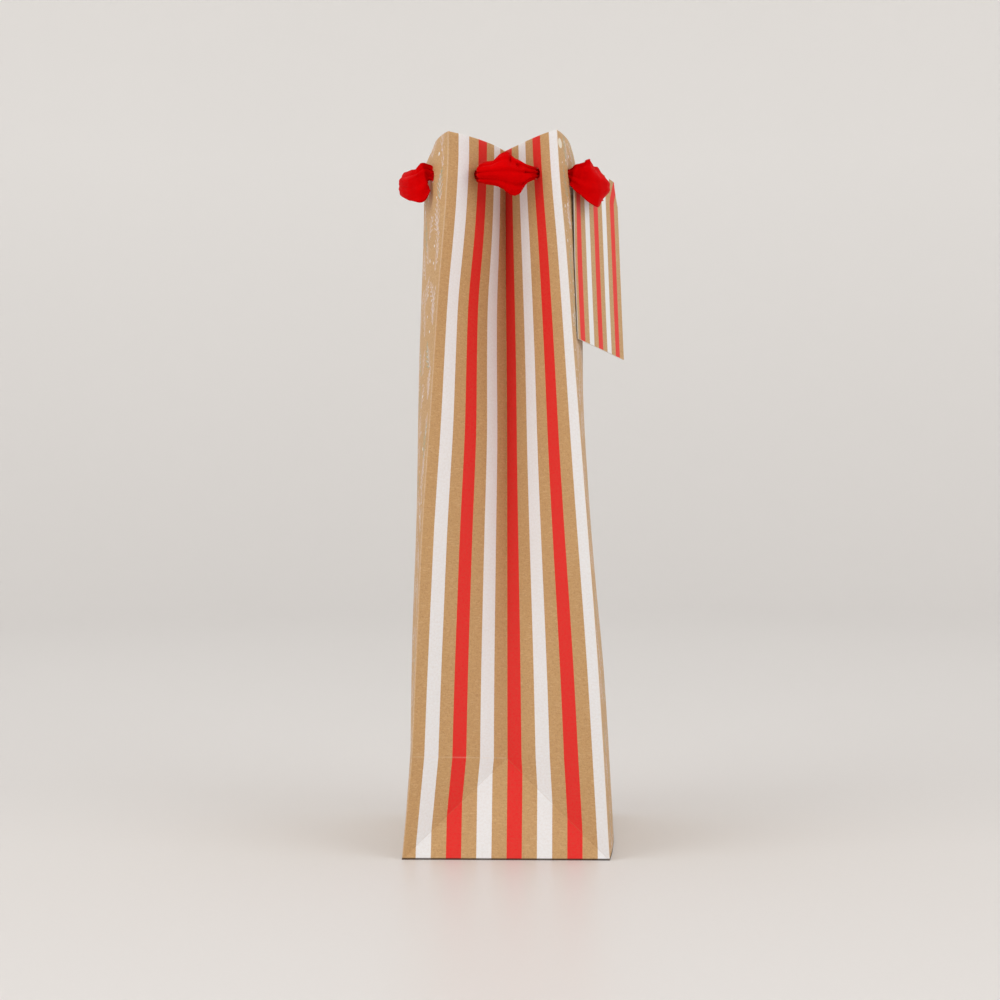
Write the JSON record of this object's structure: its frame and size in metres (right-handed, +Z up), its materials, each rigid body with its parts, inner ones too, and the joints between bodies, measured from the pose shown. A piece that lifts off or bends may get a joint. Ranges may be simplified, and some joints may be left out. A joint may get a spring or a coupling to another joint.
{
  "type": "wine gift bag",
  "caption": "Tall narrow kraft paper gift bag with striped gussets, folded square base, turned-in mouth, threaded satin ribbon loops and a hanging card tag.",
  "frame": {"origin": "middle of the base, on the floor", "axes": "+Z up; -Y is out of the front panel, which carries the tag; -X is out of the left gusset"},
  "size_m": [0.1268, 0.1161, 0.3548],
  "materials": {
    "striped_paper": "matt kraft printed with white and red stripes",
    "printed_paper": "matt kraft with a small white, lilac and teal sprig print",
    "plain_paper": "bare matt kraft",
    "grey_card": "rough grey board",
    "red_satin": "satin woven ribbon",
    "tag_card": "thin card printed with the stripes"
  },
  "bodies": {
    "bag": {"left_gusset_front_half": "striped_paper", "left_gusset_back_half": "striped_paper", "right_gusset_front_half": "striped_paper", "right_gusset_back_half": "striped_paper", "left_gusset_foot": "striped_paper", "right_gusset_foot": "striped_paper", "left_front_wing": "striped_paper", "left_back_wing": "striped_paper", "right_front_wing": "striped_paper", "right_back_wing": "striped_paper", "front_panel": "printed_paper", "back_panel": "printed_paper", "front_hem": "plain_paper", "back_hem": "plain_paper", "left_front_hem": "plain_paper", "left_back_hem": "plain_paper", "right_front_hem": "plain_paper", "right_back_hem": "plain_paper", "side_seam_flap": "plain_paper", "bottom_front_flap": "plain_paper", "bottom_back_flap": "plain_paper", "bottom_left_flap": "plain_paper", "bottom_right_flap": "plain_paper", "front_top_card": "grey_card", "back_top_card": "grey_card", "base_board": "grey_card", "inner_ribbon_front_left": "red_satin", "inner_ribbon_front_right": "red_satin", "inner_ribbon_back_left": "red_satin", "inner_ribbon_back_right": "red_satin"},
    "front_loop": {"front_ribbon_near": "red_satin", "front_ribbon_far": "red_satin"},
    "tag_hanger": {"tag_pinch": "red_satin"},
    "tag": {"gift_tag": "tag_card"},
    "back_loop": {"back_ribbon": "red_satin"},
    "left_loop": {"left_ribbon": "red_satin"},
    "right_loop": {"right_ribbon": "red_satin"}
  },
  "joints": [
    {"name": "front_loop_lift", "type": "hinge", "parent": "bag", "child": "front_loop", "pos_m": [0, -0.0335, 0.336], "axis": [-1, 0, 0], "range_deg": [0, 30]},
    {"name": "tag_level", "type": "hinge", "parent": "front_loop", "child": "tag_hanger", "pos_m": [-0.004, -0.0451, 0.3316], "axis": [-1, 0, 0], "range_deg": [-29, 0.5]},
    {"name": "tag_swing", "type": "hinge", "parent": "tag_hanger", "child": "tag", "pos_m": [-0.004, -0.0451, 0.3316], "axis": [-0.9542, 0.299, 0], "range_deg": [0, 12]},
    {"name": "back_loop_lift", "type": "hinge", "parent": "bag", "child": "back_loop", "pos_m": [0, 0.03723, 0.336], "axis": [1, 0, 0], "range_deg": [-40, 45]},
    {"name": "left_loop_lift", "type": "hinge", "parent": "bag", "child": "left_loop", "pos_m": [-0.05312, 0, 0.336], "axis": [0.0285, 0.9996, 0], "range_deg": [-35, 35]},
    {"name": "right_loop_lift", "type": "hinge", "parent": "bag", "child": "right_loop", "pos_m": [0.05312, 0, 0.336], "axis": [0.0285, -0.9996, 0], "range_deg": [-35, 35]}
  ],
  "couplings": [
    {"joint": "tag_level", "follows": "front_loop_lift", "ratio": -0.93}
  ]
}
